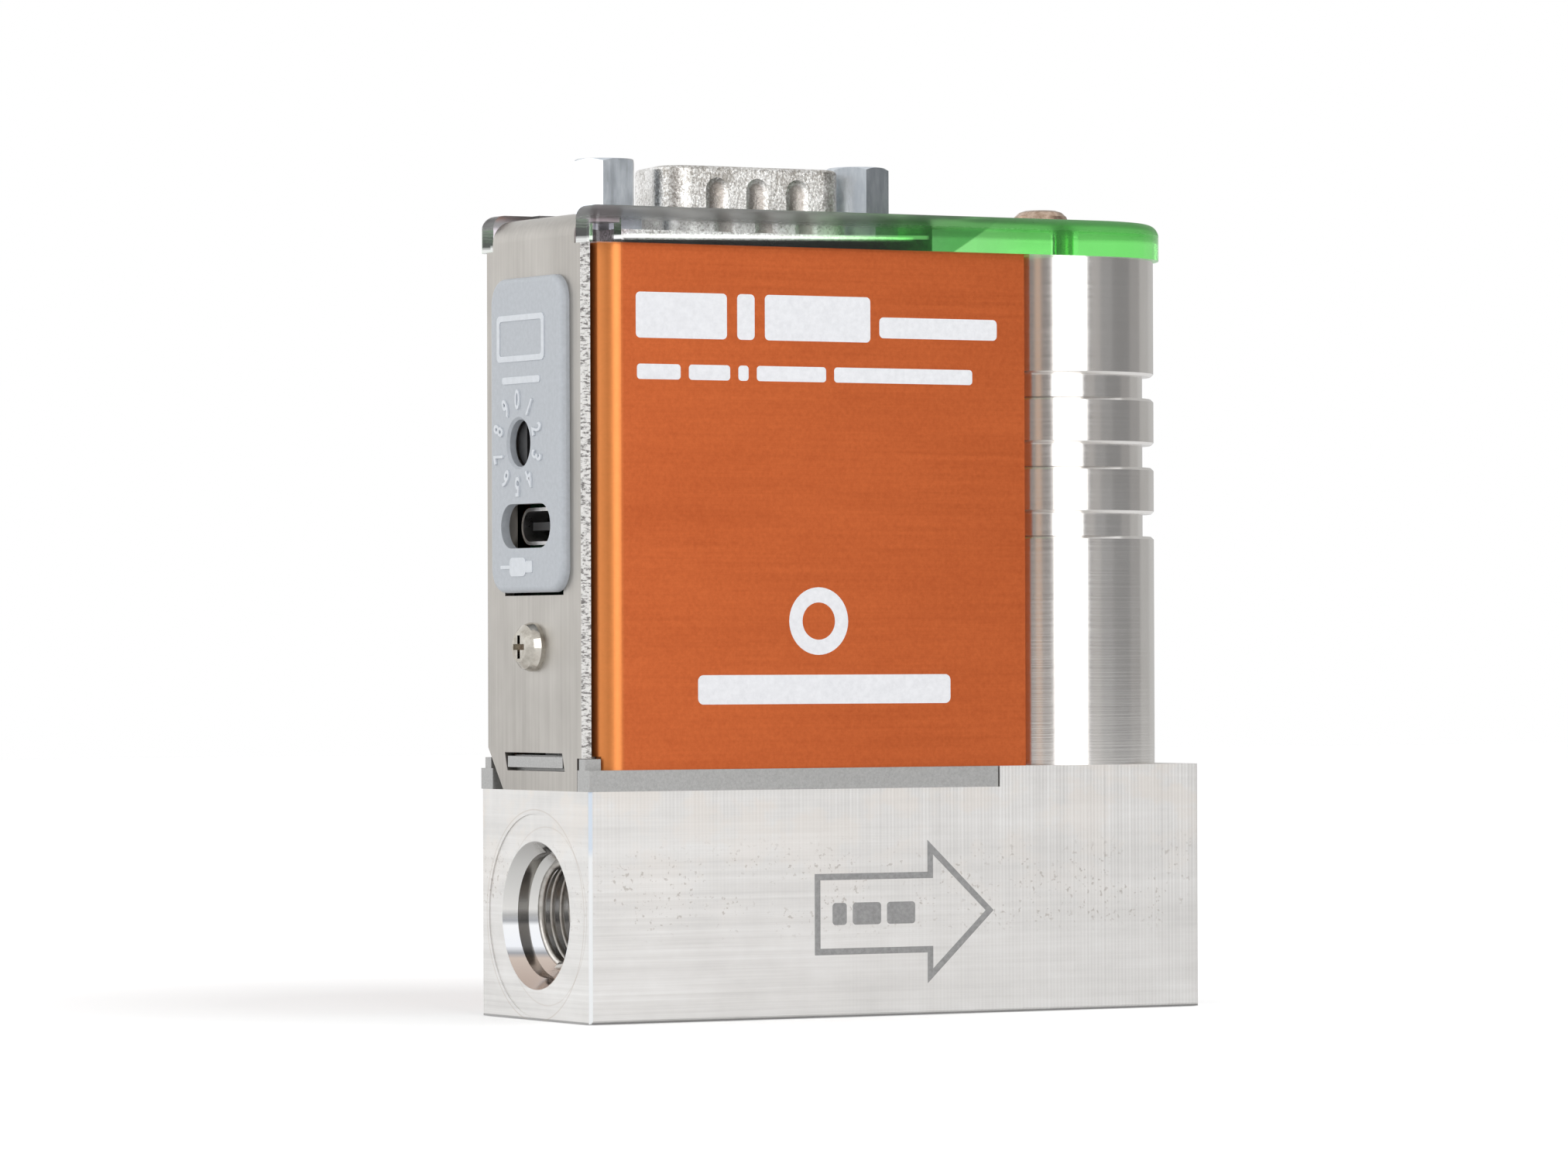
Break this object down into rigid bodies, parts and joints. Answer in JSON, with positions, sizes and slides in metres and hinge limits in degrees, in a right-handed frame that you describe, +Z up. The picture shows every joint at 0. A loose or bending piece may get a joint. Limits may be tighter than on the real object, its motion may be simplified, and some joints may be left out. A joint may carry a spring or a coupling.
{
  "type": "thermal mass flow meter",
  "caption": "Compact thermal gas flow meter: ported metal block, orange electronics housing, clear top light, D-sub connector and a turned control valve tower.",
  "frame": {"origin": "centre of the base block's bottom face", "axes": "+X along the flow to the outlet, +Z up along the valve tower, -Y to the front with the flow arrow"},
  "size_m": [0.0628, 0.021, 0.0737],
  "materials": {
    "stainless_block": "fine machined",
    "blasted_metal": "bead blasted",
    "brushed_sheet": "brushed",
    "orange_anodised": "brushed and anodised",
    "clear_lens": "clear, lit green from inside",
    "turned_steel": "fine turned",
    "pale_plastic": "moulded satin",
    "plated_steel": "bright plated",
    "zinc_screws": "plated",
    "gold_contacts": "gold plated",
    "dark_plastic": "moulded",
    "white_plastic": "moulded",
    "board_green": "solder mask",
    "chip_black": "moulded",
    "green_light": "lit",
    "seal_rubber": "matt",
    "copper_wire": "enamelled",
    "valve_steel": "turned"
  },
  "bodies": {
    "meter": {"base_block": "stainless_block", "inlet_screen": "valve_steel", "flow_element": "valve_steel", "sensor_base": "valve_steel", "sensor_tube": "valve_steel", "sensor_windings": "copper_wire", "sensor_seals": "seal_rubber", "sensor_screws": "zinc_screws", "adapter_frame": "blasted_metal", "frame_screws": "zinc_screws", "end_cover": "brushed_sheet", "end_cover_screw": "zinc_screws", "access_panel": "pale_plastic", "main_cover": "orange_anodised", "connector_plate": "blasted_metal", "dsub_shell": "plated_steel", "dsub_insulator": "dark_plastic", "dsub_pins": "gold_contacts", "dsub_jackscrews": "plated_steel", "top_lens": "clear_lens", "lens_screw": "zinc_screws", "valve_tower": "turned_steel", "core_tube": "valve_steel", "pole_piece": "valve_steel", "valve_orifice": "valve_steel", "valve_seal": "seal_rubber", "plunger_spring": "valve_steel", "coil_bobbin": "white_plastic", "coil_winding": "copper_wire", "main_board": "board_green", "board_components": "chip_black", "interface_board": "board_green", "usb_receptacle": "plated_steel", "usb_tongue": "dark_plastic", "address_switch_body": "dark_plastic", "status_light": "green_light"},
    "valve_plunger": {"plunger": "valve_steel", "seal_disc": "seal_rubber"},
    "address_rotor": {"address_switch_rotor": "white_plastic"}
  },
  "joints": [
    {"name": "valve_lift", "type": "slide", "parent": "meter", "child": "valve_plunger", "axis": [0, 0, 1], "range_m": [0, 0.0004], "stiffness_N_per_m": 150, "springref_m": -0.002, "deforming": ["plunger_spring"]},
    {"name": "address_turn", "type": "hinge", "parent": "meter", "child": "address_rotor", "pos_m": [-0.0302, 0.0013, 0.0493], "axis": [-1, 0, 0], "continuous": true}
  ]
}
